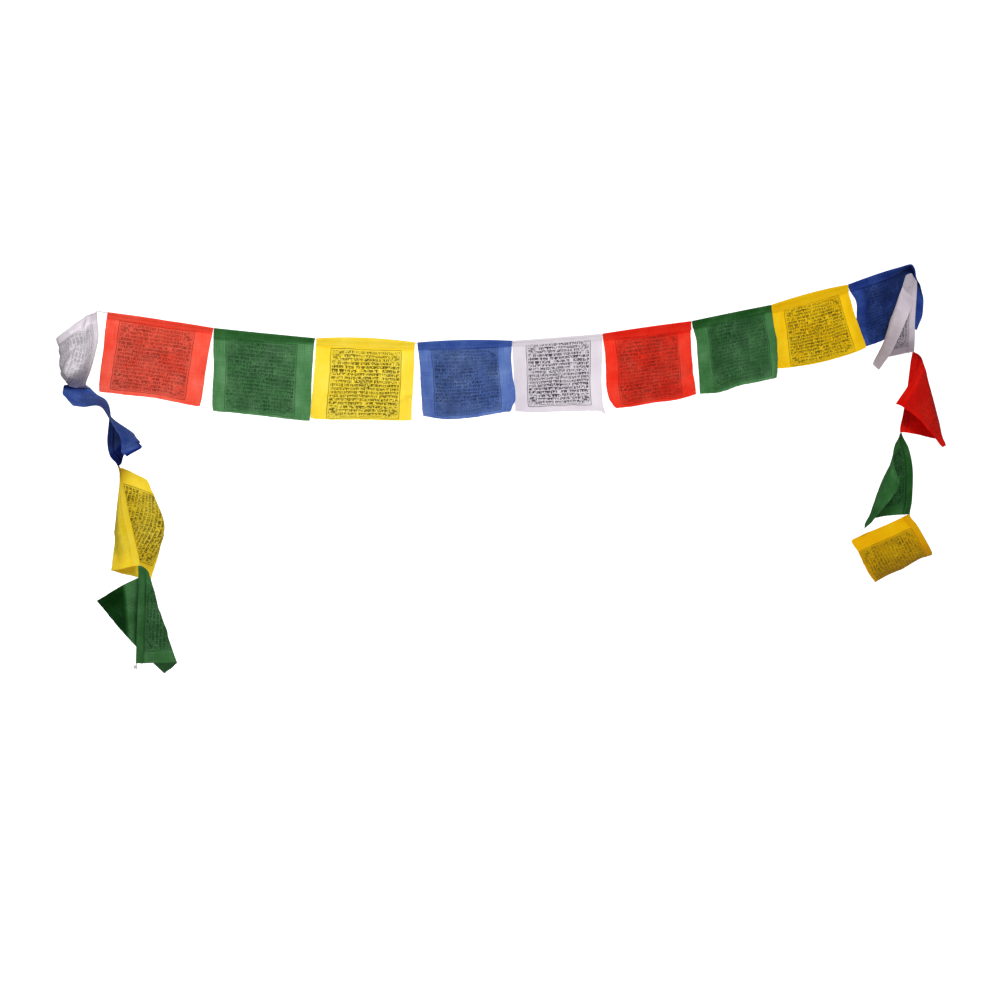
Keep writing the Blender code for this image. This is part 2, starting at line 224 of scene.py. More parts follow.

# How each flag was sewn, worn and printed. In millimetres: the casing's depth at its two ends, how far
# the cloth stands above the cord in the middle, how wide a strip of each side edge turns behind at the
# hem (to the front if below zero), and the height of the soft waves. Then the strength of the dye, which
# also paints in part of how brightly each flag is lit; the share of that dye on the casing, painted light
# on some flags and painted shade on others where the cloth lies double; and the strength of the ink, of
# its haze and of its show through the back of the cloth. Last, how far the printed block sits to the right
# and down, in millimetres.
Wear = namedtuple("Wear", "casing crown turn waves dye band ink haze back block")
WEAR = {
    1: Wear((11, 11), 0, (0, 0), 0.8, 0.92, 1.0, 0.8, 0.4, 0.4, (-3, 0)),
    2: Wear((11, 10), 0, (0, 0), 0.9, 0.85, 1.0, 0.85, 0.3, 0.12, (0, -3)),
    3: Wear((11, 11), 0, (0, 0), 0.8, 1.0, 1.0, 0.7, 0.4, 0.5, (0, 0)),
    4: Wear((11, 11), 0, (0, 0), 0.9, 1.2, 1.0, 0.9, 0.3, 0.5, (2, -4)),
    5: Wear((8, 6), 2, (3, 0), 1.8, 0.62, 1.1, 0.68, 0.35, 0.3, (-5, -4)),
    6: Wear((14, 6), 1, (0, 0), 1.6, 0.8, 1.3, 0.75, 0.5, 0.3, (-5, -1)),
    7: Wear((11, 10), 5.5, (0, 0), 1.5, 0.75, 1.0, 0.9, 0.1, 0.3, (0, 0)),
    8: Wear((10, 8), 4, (0, 0), 1.8, 0.7, 1.2, 0.72, 0.5, 0.3, (-3, -3)),
    9: Wear((8, 8), 1, (0, 0), 1.6, 1.3, 0.8, 1.0, 0.08, 0.3, (0, -8)),
    10: Wear((9, 15), 2, (0, 0), 1.8, 0.9, 1.15, 0.68, 0.35, 0.3, (-4, -2)),
    11: Wear((12, 9), 1.5, (0, -6), 1.8, 0.92, 1.3, 0.75, 0.6, 0.3, (5, -3)),
    12: Wear((14, 12), 4, (0, 0), 1.6, 1.35, 1.0, 0.85, 0.2, 0.3, (0, 0)),
    13: Wear((12, 12), 3.5, (0, 0), 1.4, 1.15, 0.95, 0.8, 0.5, 0.2, (0, -2)),
    14: Wear((11, 11), 0, (0, 0), 0.8, 2.2, 0.8, 1.0, 0.2, 0.08, (0, 0)),
    15: Wear((11, 11), 0, (0, 0), 0.8, 1.5, 1.0, 0.5, 0.2, 0.5, (0, 0)),
    16: Wear((11, 11), 0, (0, 0), 0.7, 1.15, 1.0, 0.95, 0.4, 0.12, (0, 0)),
    17: Wear((11, 11), 0, (0, 0), 0.9, 1.75, 1.0, 0.75, 0.4, 0.3, (0, 0)),
}

# The outline of the flags of the span, in millimetres at every quarter of an edge: how far the left and
# right edges draw in from top to bottom, and how much lower the hem hangs from left to right. Then how
# far each lower corner is rounded off, or drawn out if below zero.
Edges = namedtuple("Edges", "left right hem corners")
EDGES = {
    5: Edges((0, 0, 0, 0, 0), (0, 1, 1, 0, 0), (0, -2, -4, -1, 3), (1, 1)),
    6: Edges((0, 0, 1, 0, 0), (0, 1, 1, 0, 0), (-1, -1, 0, 2, 3), (1, 1)),
    7: Edges((0, 0, 0, 0, 0), (0, 0, 0, 1, 0), (2, 1, -1, 0, 0), (1, 0)),
    8: Edges((0, 1, 0, 0, 0), (0, 2, 1, -2, 0), (0, 4, 1, -6, -14), (1, 7)),
    9: Edges((0, 0, 0, 0, 0), (0, 0, 1, 1, -1), (-7, -4, -3, -1, 2), (1, -4)),
    10: Edges((0, 0, -2, -5, -2), (0, 3, 3, 0, -3), (3, 6, 6, 8, 6), (6, 1)),
    11: Edges((0, 4, 3, 2, 0), (0, -2, -6, -4, 0), (0, 3, -3, -4, -6), (0, 3)),
    12: Edges((0, 0, 0, 0, 0), (0, 3, 3, 1, 0), (-3, 1, 3, 2, -2), (1, 1)),
    13: Edges((0, 0, 0, 0, 0), (0, 0, 0, 0, 0), (0, -1, -2, -1, 0), (0, 0)),
}

# How far from its left edge a flag's print did not take, in millimetres
BARE = {14: 66}

# A corner darkened by painted shade, made with stronger dye: the line that it lies beyond, from one place on
# the flat cloth to another, in millimetres from the left edge and from the cord, and how much stronger its
# dye is
PaintedShadeCorner = namedtuple("PaintedShadeCorner", "u_from v_from u_to v_to dye")
PAINTED_SHADE_CORNERS = {1: PaintedShadeCorner(172, 76, 90, 130, 1.25), 3: PaintedShadeCorner(8, 130, 22, 0, 0.7)}

# How far the two ends of a casing are pushed along the cord, in millimetres
PUSHED = {5: (5, 0), 6: (0, -5), 7: (-3, -4), 10: (0, 5), 11: (6, 0), 12: (0, -5), 13: (-5, 0)}

# Creases of the hung cloth, each a straight soft ridge (or a trough, if below zero) from one place on the
# flat cloth to another: both places, from the left edge and from the cord, then its height and width, all
# in millimetres
CREASES = {
    1: [(20, 30, 150, 95, 1.2, 7), (120, 20, 60, 120, -1.0, 6)],
    2: [(30, 40, 140, 60, 1.2, 7), (60, 20, 90, 125, -0.9, 5), (130, 40, 160, 110, 0.9, 6)],
    3: [(15, 20, 80, 110, 2.2, 7), (60, 30, 30, 120, -1.8, 7), (110, 20, 160, 100, 2.0, 8)],
    4: [(170, 14, 60, 90, 3.2, 7), (170, 14, 100, 120, -2.6, 6), (168, 16, 30, 60, 2.4, 6)],
    5: [(10, 25, 24, 130, -2.4, 7), (150, 16, 168, 128, 1.7, 9), (30, 100, 150, 118, 1.4, 10)],
    6: [(22, 14, 16, 130, 1.5, 8), (60, 70, 150, 92, -1.4, 12), (150, 40, 165, 125, 1.5, 8)],
    7: [(14, 20, 20, 125, -1.2, 7), (140, 95, 172, 84, 1.4, 5), (152, 20, 158, 128, 1.2, 8)],
    8: [(14, 12, 24, 100, 2.0, 9), (24, 100, 10, 130, -1.8, 8), (150, 12, 164, 128, 2.1, 9)],
    9: [(20, 12, 16, 125, -1.2, 8), (100, 110, 168, 122, 1.8, 8), (150, 14, 158, 120, 1.4, 8)],
    10: [(20, 12, 14, 128, 1.5, 8), (120, 105, 172, 90, -2.0, 9), (150, 16, 160, 120, -1.7, 9)],
    11: [(14, 10, 20, 125, 1.5, 9), (70, 20, 90, 125, -1.7, 13), (156, 20, 160, 110, 2.2, 8)],
    12: [(24, 14, 14, 120, -1.5, 8), (60, 118, 130, 126, 1.5, 9), (158, 14, 152, 125, 1.7, 8)],
    13: [(14, 12, 24, 70, 2.6, 9), (24, 70, 12, 128, -2.4, 9), (60, 15, 80, 120, 2.6, 12)],
    14: [(30, 30, 120, 70, 1.0, 7), (120, 30, 70, 110, -0.9, 6)],
    15: [(20, 20, 110, 100, 1.4, 7), (60, 30, 150, 60, -1.0, 7), (30, 90, 80, 125, 1.0, 7)],
    16: [(20, 30, 90, 110, 1.4, 7), (60, 20, 150, 80, -1.0, 7)],
    17: [(20, 20, 40, 125, 1.0, 8), (120, 20, 100, 120, -1.2, 9)],
}

ACROSS = np.array((math.cos(TAIL_HEADING), -math.sin(TAIL_HEADING), 0))
AWAY = np.array((math.sin(TAIL_HEADING), math.cos(TAIL_HEADING), 0))
UP = np.array((0.0, 0.0, 1.0))

COLOUR_ORDER = ("green", "yellow", "blue", "white", "red")
Dye = namedtuple("Dye", "cloth ink glow")
DYES = {
    "blue": Dye((0.046, 0.100, 0.37), (0.005, 0.011, 0.03), 0.30),
    "white": Dye((0.84, 0.80, 0.84), (0.075, 0.062, 0.08), 0.30),
    "red": Dye((0.86, 0.040, 0.018), (0.12, 0.012, 0.007), 0.34),
    "green": Dye((0.055, 0.195, 0.058), (0.007, 0.030, 0.012), 0.30),
    "yellow": Dye((0.93, 0.72, 0.030), (0.12, 0.085, 0.006), 0.34),
}
CORD_COLOUR = (0.74, 0.71, 0.66)

# The printed block, in millimetres on the flat cloth from its left edge and from the cord
PRINT_LEFT = 26.0
PRINT_RIGHT = 148.5
PRINT_TOP = 12.8
PRINT_BOTTOM = 127.0
ROW_PITCH = 6.0

# How far apart the unevenness of two flags is taken, and the turn of the weave's wave in a millimetre
LOT_STEP = 5.3
WEAVE_TURN = 2 * math.pi / 0.55


def camera():
    lens = bpy.data.cameras.new("camera")
    lens.lens = CAMERA_LENS
    eye = bpy.data.objects.new("camera", lens)
    eye.location = CAMERA_PLACE
    eye.rotation_euler = CAMERA_TURN
    bpy.context.collection.objects.link(eye)
    bpy.context.scene.camera = eye
    bpy.context.scene.view_settings.view_transform = "Standard"


# Shapes


def local(rows):
    """Millimetre offsets across, away and up, as metres in the frame."""
    rows = np.array(rows, float) * MM
    return rows[..., :1] * ACROSS + rows[..., 1:2] * AWAY + rows[..., 2:3] * UP


def unit(vectors):
    return vectors / np.linalg.norm(vectors, axis=-1, keepdims=True)


def smooth_through(points, steps):
    """A smooth curve through every point, as a fine line."""
    points = np.array(points)
    padded = np.vstack([2 * points[0] - points[1], points, 2 * points[-1] - points[-2]])
    line = []
    for a, b, c, d in zip(padded, padded[1:], padded[2:], padded[3:]):
        for t in np.arange(steps) / steps:
            square = (2 * a - 5 * b + 4 * c - d) * t**2
            cube = (3 * b - a - 3 * c + d) * t**3
            line.append((2 * b + (c - a) * t + square + cube) / 2)
    line.append(points[-1])
    return line


def rounded(points, softness):
    """The broken line through points, with each corner eased by a short curve by its own share."""
    line = [points[0]]
    t = np.linspace(0, 1, FOLD_STEPS + 1)[:, None]
    for before, corner, after, soft in zip(points, points[1:], points[2:], softness):
        cut = soft * min(np.linalg.norm(corner - before), np.linalg.norm(after - corner))
        start = corner + unit(before - corner) * cut
        end = corner + unit(after - corner) * cut
        line.extend(start * (1 - t) ** 2 + corner * 2 * t * (1 - t) + end * t**2)
    line.append(points[-1])
    return line


class Line:
    """A fine line that can be read at distances along it, and a little past its ends."""

    def __init__(self, points):
        self.points = np.array(points)
        steps = np.linalg.norm(np.diff(self.points, axis=0), axis=1)
        self.along = np.concatenate([[0], np.cumsum(steps)])

    def at(self, distance):
        distance = np.asarray(distance, float)
        point = np.stack([np.interp(distance, self.along, axis) for axis in self.points.T], axis=-1)
        before = np.minimum(distance, 0)[..., None]
        after = np.maximum(distance - self.along[-1], 0)[..., None]
        point += before * unit(self.points[1] - self.points[0])
        return point + after * unit(self.points[-1] - self.points[-2])

    def direction(self, distance, reach=0.002):
        return unit(self.at(distance + reach) - self.at(distance - reach))


def span_point(x):
    share = x / PIN_SPAN
    return np.array((x, 0, PIN_RISE * share - 4 * SAG * share * (1 - share)))


def cord_route():
    """The whole cord from its left end to its right end, and the distance of the left pin."""
    left = list(local(LEFT_TAIL)[::-1])
    right = list(span_point(PIN_SPAN) + local(RIGHT_TAIL))
    shares = (0.006, 0.02, 0.06, *[i / 12 for i in range(1, 12)], 0.96, 0.985)
    middle = [span_point(PIN_SPAN * share) for share in shares]
    route = Line(smooth_through(left + middle + right, ROUTE_STEPS))
    return route, route.along[(len(left) - 1) * ROUTE_STEPS]


def casing_starts(left_pin_at):
    """The distance along the cord at which each flag's casing starts, by flag number."""
    pitch = FLAG_WIDTH + FLAG_GAP
    left_tail_start = left_pin_at - LAST_TAIL_FLAG - FLAG_WIDTH
    starts = {number: left_tail_start - (4 - number) * pitch for number in range(1, 5)}
    starts.update({number: left_pin_at + FIRST_SPAN_FLAG + (number - 5) * pitch for number in range(5, 18)})
    return starts


def blend(rows, share, name):
    """Reads a smooth offset between table rows, which are at their own shares."""
    i = 0
    while i < len(rows) - 2 and rows[i + 1].share < share:
        i += 1
    values = [local(getattr(row, name)) for row in rows]
    shares = [row.share for row in rows]
    width = shares[i + 1] - shares[i]
    slope_a = slope_b = (values[i + 1] - values[i]) / width
    if i > 0:
        slope_a = (values[i + 1] - values[i - 1]) / (shares[i + 1] - shares[i - 1])
    if i + 2 < len(rows):
        slope_b = (values[i + 2] - values[i]) / (shares[i + 2] - shares[i])
    t = (share - shares[i]) / width
    return (
        values[i] * (2 * t**3 - 3 * t**2 + 1)
        + slope_a * width * (t**3 - 2 * t**2 + t)
        + values[i + 1] * (3 * t**2 - 2 * t**3)
        + slope_b * width * (t**3 - t**2)
    )


def folded_fall(rows, share):
    """The cloth's fall below the casing on a folded flag, as offsets from the cord."""
    sections = [Section(*row) for row in rows]
    stops = [blend(sections, share, name) for name in ("near", "fold", "back", "hem")]
    return Line(rounded([np.zeros(3), *stops], FOLD_SOFTNESS))


def hanging_fall(row, share):
    """The cloth's fall below the casing on a flag of the span, as offsets from the cord."""
    lean = math.radians(row.lean_left + (row.lean_right - row.lean_left) * share)
    ends = row.away_left * (1 - share) ** 2 + row.away_right * share**2
    hem_away = ends + 2 * row.away_middle * share * (1 - share)
    down = np.array((math.sin(lean), 0, -math.cos(lean)))
    belly = row.belly * (1 - (2 * share - 1) ** 2)
    middle = down * (row.drop * MM / 2) + np.array((0, (hem_away / 3 + belly) * MM, 0))
    hem = down * (row.drop * MM) + np.array((0, hem_away * MM, 0))
    return Line(rounded([np.zeros(3), middle, hem], HANG_SOFTNESS))


def cloud(x, y, z):
    """Smooth noise from -1 to 1, with features about 1 wide."""
    return noise.noise(Vector((x, y, z)))


def crease_lift(crease, u, v):
    """How far a crease lifts the cloth at u and v, in millimetres."""
    u_from, v_from, u_to, v_to, height, width = crease
    along_u, along_v = u_to - u_from, v_to - v_from
    length = math.hypot(along_u, along_v)
    t = ((u - u_from) * along_u + (v - v_from) * along_v) / length**2
    wander = 3 * cloud(t * 2.5, u_from, v_to)
    off = ((u - u_from) * along_v - (v - v_from) * along_u) / length - wander
    past = max(0.0, -t, t - 1) * length / 12
    return height * math.exp(-((off / width) ** 2) - past**2)


def wrinkle(number, u, v, depth):
    """How far the cloth lies off its smooth fall, in metres, at u and v millimetres on the flat cloth."""
    wear = WEAR[number]
    below = max(0.0, v - depth)
    loose = min(1.0, below / FREE_REACH)
    seed = number * 7.3
    waves = cloud(u / 62, v / 95, seed) * loose + 0.45 * cloud(u / 24, v / 60, seed + 3) * loose
    drape = 0.3 * cloud(u / 15 + v / 90, v / 140, seed + 5) * min(1.0, below / 25)
    pucker = 0.26 * cloud(u / 3.6, v / 30, seed + 9) * math.exp(-below / PUCKER_REACH)
    crumple = 0.2 * (0.4 - abs(cloud(u / 17, v / 17, seed + 11)) * 2) + 0.08 * cloud(u / 5, v / 5, seed + 13)
    pressed = 0.0
    for at, height in PRESSED_ACROSS:
        pressed += height * math.exp(-abs(u - at - 2.5 * cloud(v / 50, seed, 17)) / 2.2)
    at, height = PRESSED_DOWN
    pressed += height * math.exp(-abs(v - at - 2.5 * cloud(u / 50, seed, 17)) / 2.2)
    placed = sum(crease_lift(crease, u, v) for crease in CREASES[number])
    return (wear.waves * (waves + drape) + pucker + crumple + pressed + placed * min(1.0, below / 12)) * MM


def quarters(values, share):
    """Reads a smooth curve through values given at every quarter."""
    line = np.array(smooth_through([(i / 4, value) for i, value in enumerate(values)], 8))
    return np.interp(share, line[:, 0], line[:, 1])


def hem_drop(number, share):
    """How much lower the hem hangs at a share of the flag's width, in metres."""
    if number not in EDGES:
        return 0.0
    edges = EDGES[number]
    left, right = edges.corners
    reach = HEM_CORNER / FLAG_WIDTH
    cut = left * math.exp(-((share / reach) ** 2)) + right * math.exp(-(((1 - share) / reach) ** 2))
    return (quarters(edges.hem, share) - cut) * MM


def draw_in(number, cloth, across):
    """Gives the side edges their outline, and makes them a little uneven."""
    edges = EDGES.get(number)
    sideways = unit(np.gradient(cloth, axis=0))
    down = np.linspace(0, 1, cloth.shape[1])
    moved = cloth.copy()
    for side, edge, inward in ((0, across, 1), (1, FLAG_WIDTH - across, -1)):
        slow = np.array([cloud(t * 6, number, inward * 5) for t in down])
        quick = np.array([cloud(t * 25, number, inward) for t in down])
        pull = (0.7 * slow + 0.3 * quick) * np.minimum(1, down * 8)
        if edges:
            corner = edges.corners[side] * np.exp(-(((1 - down) * FLAG_DROP / SIDE_CORNER) ** 2))
            pull = pull + quarters(edges[side], down) + corner
        pull = pull * inward * MM
        moved += sideways * (np.exp(-edge / SIDE_REACH)[:, None] * pull)[..., None]
    return moved


def turn_edges(number, cloth, normals, across):
    """Turns the strips along the side edges behind the flag, or in front of it."""
    wear = WEAR[number]
    rows = cloth.shape[1]
    growth = np.clip(np.linspace(-0.15, 1, rows), 0, 1) ** 1.3 * MM
    turned = cloth.copy()
    for amount, mirrored in zip(wear.turn, (False, True)):
        if amount == 0:
            continue
        inward = FLAG_WIDTH - across if mirrored else across
        for j, width in enumerate(abs(amount) * growth):
            strip = inward < width
            reflected = 2 * width - inward[strip]
            source = FLAG_WIDTH - reflected if mirrored else reflected
            for axis in range(3):
                turned[strip, j, axis] = np.interp(source, across, cloth[:, j, axis])
            lift = np.minimum(1, (width - inward[strip]) / (3 * MM)) * TURNED_LIFT
            turned[strip, j] -= normals[strip, j] * (lift * math.copysign(1, amount))[:, None]
    return turned


def flag_surface(number, route, start):
    """The middle of one flag's cloth as a grid of points, with each point's place on the flat cloth."""
    wear = WEAR[number]
    columns = []
    across = np.linspace(0, FLAG_WIDTH, COLUMNS + 1)
    for u in across:
        share = u / FLAG_WIDTH
        left, right = PUSHED.get(number, (0, 0))
        distance = start + u + (left + (right - left) * share) * MM
        cord_point = route.at(distance)
        cord_direction = route.direction(distance)
        if number in FOLDED_FLAGS:
            fall = folded_fall(FOLDED_FLAGS[number], share)
        else:
            fall = hanging_fall(SPAN_FLAGS[number], share)
        first = unit(fall.at(CASING_DEPTH / 2))
        down = unit(first - cord_direction * first.dot(cord_direction))
        face = np.cross(down, cord_direction)
        depth = (wear.casing[0] + (wear.casing[1] - wear.casing[0]) * share) * MM
        crown = wear.crown * (1 - (2 * share - 1) ** 2) * MM
        lower = hem_drop(number, share)
        ragged = 0.5 * MM * cloud(u / MM / 9, number * 3.1, 23)
        length = fall.along[-1] + ragged + lower

        def body(distances):
            square = np.maximum(0, 1 - distances / (3 * CASING_DEPTH))[:, None] ** 2
            below = fall.at(distances) * (1 - square) + down * distances[:, None] * square
            return cord_point + below - face * CASING_RADIUS * square

        below = np.linspace(CASING_RADIUS - crown, length, BODY_ROWS)
        body_v = below / length * FLAG_DROP
        lift = np.array([wrinkle(number, u / MM, v / MM, depth / MM) for v in body_v])
        flap_below = np.linspace(depth + ragged, CASING_RADIUS - crown, FLAP_ROWS)
        bulge = np.maximum(0, 1 - np.maximum(flap_below, 0) / (0.8 * depth)) ** 2
        gap = SEWN_GAP + (2 * CASING_RADIUS - SEWN_GAP) * bulge
        flap_lift = np.interp(flap_below, below, lift) * np.linspace(1, 0, FLAP_ROWS)
        turns = np.radians(np.linspace(90, -90, TURN_ROWS + 2)[1:-1])
        around = face * np.sin(turns)[:, None] - down * np.cos(turns)[:, None]
        turn = cord_point - down * crown + around * CASING_RADIUS
        over = CASING_RADIUS * np.radians(90 + np.linspace(90, -90, TURN_ROWS + 2)[1:-1])
        v = np.concatenate([-CASING_RADIUS * math.pi - flap_below, -over, body_v])
        flat = np.stack([np.full(len(v), u), v], axis=1)
        columns.append((body(flap_below) + face * gap[:, None], flap_lift, turn, body(below), lift, flat))

    flap, flap_lift, turn, body_points, lift, flat = (np.array(part) for part in zip(*columns))
    normals = unit(np.cross(np.gradient(body_points, axis=1), np.gradient(body_points, axis=0)))
    swell = np.clip(np.linspace(0, 1, BODY_ROWS) * 14, 0, 1)
    cloth = body_points + normals * (lift * swell)[..., None]
    cloth = draw_in(number, cloth, across)
    cloth = turn_edges(number, cloth, normals, across)
    flap = flap + normals[:, :1] * flap_lift[..., None]
    return np.concatenate([flap, turn, cloth], axis=1), flat


def painted_shade_share(corner, flat):
    """How far each place on the flat cloth lies into a corner of painted shade, from 0 to 1."""
    u, v = flat[..., 0] / MM, flat[..., 1] / MM
    along_u, along_v = corner.u_to - corner.u_from, corner.v_to - corner.v_from
    beyond = ((v - corner.v_from) * along_u - (u - corner.u_from) * along_v) / math.hypot(along_u, along_v)
    return np.clip(0.5 - beyond / PAINTED_SHADE_EDGE, 0, 1)


def cloth_mesh(name, number, grid, flat):
    """A thin closed shell on the grid, with the strength of its ink on each side and of its dye."""
    wear = WEAR[number]
    columns, rows = grid.shape[:2]
    normals = unit(np.cross(np.gradient(grid, axis=1), np.gradient(grid, axis=0)))
    shells = [grid + normals * CLOTH_THICKNESS / 2, grid - normals * CLOTH_THICKNESS / 2]
    vertices = np.concatenate([shell.reshape(-1, 3) for shell in shells])
    count = columns * rows
    index = np.arange(count).reshape(columns, rows)
    a, b = index[:-1, :-1].ravel(), index[:-1, 1:].ravel()
    c, d = index[1:, 1:].ravel(), index[1:, :-1].ravel()
    faces = [np.stack([a, b, c, d], axis=1), np.stack([d, c, b, a], axis=1) + count]
    rim = np.concatenate([index[0, :], index[1:, -1], index[-1, -2::-1], index[-2:0:-1, 0]])
    after = np.roll(rim, -1)
    faces.append(np.stack([after, rim, rim + count, after + count], axis=1))
    faces = np.concatenate(faces)

    mesh = bpy.data.meshes.new(name)
    mesh.from_pydata(vertices.tolist(), [], faces.tolist())
    both = np.concatenate([flat.reshape(-1, 2)] * 2)
    block = both - np.array(wear.block) * MM
    for key, places in (("cloth", both), ("block", block)):
        uv = mesh.uv_layers.new(name=key)
        uv.data.foreach_set("uv", places[faces.ravel()].astype(np.float32).ravel())
    printed = np.concatenate([(flat[..., 0] > BARE.get(number, 0) * MM).ravel()] * 2)
    ink = np.repeat((wear.ink, wear.ink * wear.back), count) * printed
    haze = np.repeat((wear.haze, wear.haze * wear.back), count)
    # Dye strengths that also carry painted light and shade: the flag's own, the casing's, a painted shadow
    # below the seam and a corner's painted shade
    dye = np.full((columns, rows), wear.dye)
    dye[:, : FLAP_ROWS + TURN_ROWS] *= wear.band
    depth = np.linspace(*wear.casing, columns)[:, None] * MM
    under = flat[..., 1] - depth
    # Painted shadow: a thin line just below the seam is dyed stronger, as if shaded by the casing's edge
    dye *= 1 + SEAM_PAINTED_SHADOW * np.exp(-(((under - 1 * MM) / (1.6 * MM)) ** 2)) * (flat[..., 1] > 0)
    # Painted shade: a corner of the cloth is darkened by stronger dye
    if number in PAINTED_SHADE_CORNERS:
        dye *= 1 + PAINTED_SHADE_CORNERS[number].dye * painted_shade_share(PAINTED_SHADE_CORNERS[number], flat)
    lot = np.full(2 * count, number)
    for key, values in {"ink": ink, "haze": haze, "dye": np.tile(dye.ravel(), 2), "lot": lot}.items():
        mesh.attributes.new(key, "FLOAT", "POINT").data.foreach_set("value", values.astype(np.float32))
    mesh.shade_smooth()
    mesh.set_sharp_from_angle(angle=math.radians(70))
    return mesh


def add_piece(name, data, material=None):
    piece = bpy.data.objects.new(name, data)
    if material is not None:
        data.materials.clear()
        data.materials.append(material)
    bpy.context.collection.objects.link(piece)
    return piece


# Finishes


class Field:
    """A number that varies over a surface, worked out by math nodes."""

    def __init__(self, tree, socket):
        self.tree = tree
        self.socket = socket

    def math(self, operation, *others, clamp=False):
        inputs = dict(enumerate((self, *others)))
        made = node(self.tree, "ShaderNodeMath", inputs, operation=operation, use_clamp=clamp)
        return Field(self.tree, made.outputs[0])

    def __add__(self, other):
        return self.math("ADD", other)

    def __sub__(self, other):
        return self.math("SUBTRACT", other)

    def __mul__(self, other):
        return self.math("MULTIPLY", other)

    def rise(self, edge, soft):
        """0 below an edge and 1 above it, over a soft width."""
        return ((self - (edge - soft / 2)) * (1 / soft)).math("ADD", 0.0, clamp=True)

    def line_at(self, place, half_width, soft):
        """1 on a thin line and 0 off it."""
        return ((self - place).math("ABSOLUTE") * -1).rise(-half_width, soft)

    def most(self, other):
        return self.math("MAXIMUM", other)

    def least(self, other):
        return self.math("MINIMUM", other)


def fill(tree, made, inputs):
    """Sets inputs of a node, each to a field, a socket or a plain value."""
    for name, value in dict(inputs).items():
        if isinstance(value, Field):
            value = value.socket
        if isinstance(value, bpy.types.NodeSocket):
            tree.links.new(value, made.inputs[name])
        else:
            made.inputs[name].default_value = value
    return made


def node(tree, kind, inputs=(), **settings):
    """Adds a node with its settings and its inputs."""
    made = tree.nodes.new(kind)
    for key, value in settings.items():
        setattr(made, key, value)
    return fill(tree, made, inputs)


def new_finish(name):
    """A material, its node tree and its main shader."""
    material = bpy.data.materials.new(name)
    material.use_nodes = True
    return material, material.node_tree, material.node_tree.nodes["Principled BSDF"]


def speckle(x, y, layer, detail=0.0):
    """Noise with features about 1 wide in x and in y, from 0 to 1."""
    place = node(x.tree, "ShaderNodeCombineXYZ", {"X": x, "Y": y, "Z": layer})
    texture = node(x.tree, "ShaderNodeTexNoise", {"Vector": place.outputs[0], "Scale": 1.0, "Detail": detail})
    return Field(x.tree, texture.outputs[0])


def attribute(tree, name):
    return Field(tree, node(tree, "ShaderNodeAttribute", attribute_name=name).outputs["Fac"])


def flat_place(tree, name="cloth"):
    """The place on the flat cloth, in millimetres from its left edge and from the cord."""
    place = node(tree, "ShaderNodeUVMap", uv_map=name)
    parts = node(tree, "ShaderNodeSeparateXYZ", {0: place.outputs[0]})
    return Field(tree, parts.outputs["X"]) * 1000, Field(tree, parts.outputs["Y"]) * 1000


def script_rows(x, y):
    """Rows of small illegible strokes, some of them joined by a short head line."""
    line = (y - (PRINT_TOP + 2.0)) * (1 / ROW_PITCH)
    row = line.math("FLOOR")
    within = line.math("FRACT")
    words = speckle(x * 0.11, row * 3.7, 1.0).rise(0.27, 0.04)
    head = within.line_at(0.2, 0.08, 0.1) * speckle(x * 0.4, row * 4.9, 2.0).rise(0.5, 0.08)
    reach = speckle(x * 0.4, row * 2.3, 11.0) * 1.3 + 0.15
    hangs = within.rise(0.14, 0.08) * (within - reach).rise(0.0, 0.14).math("MULTIPLY_ADD", -1.0, 1.0)
    uprights = speckle(x * 0.62, row * 5.1, 7.0).rise(0.51, 0.05)
    curls = speckle(x * 0.45, y * 0.5, 3.0).rise(0.55, 0.04) * within.line_at(0.55, 0.38, 0.1)
    return head.most(uprights * hangs).most(curls) * words


def figure(x, y, size, layer):
    """A small worn picture: broken strokes inside an uneven outline. Also its distance outwards."""
    wander = (speckle(x * 0.16, y * 0.16, layer) - 0.5) * 1.3
    distance = (x.math("POWER", 4.0) + y.math("POWER", 4.0)).math("POWER", 0.25) * (1 / size) + wander
    strokes = speckle(x * 0.26, y * 0.26, layer + 2.0, 1.0)
    bands = (strokes * 7.0).math("FRACT").line_at(0.5, 0.17, 0.15)
    inside = (distance * -1).rise(-0.9, 0.12)
    return bands.most(strokes.rise(0.55, 0.05)) * inside, distance


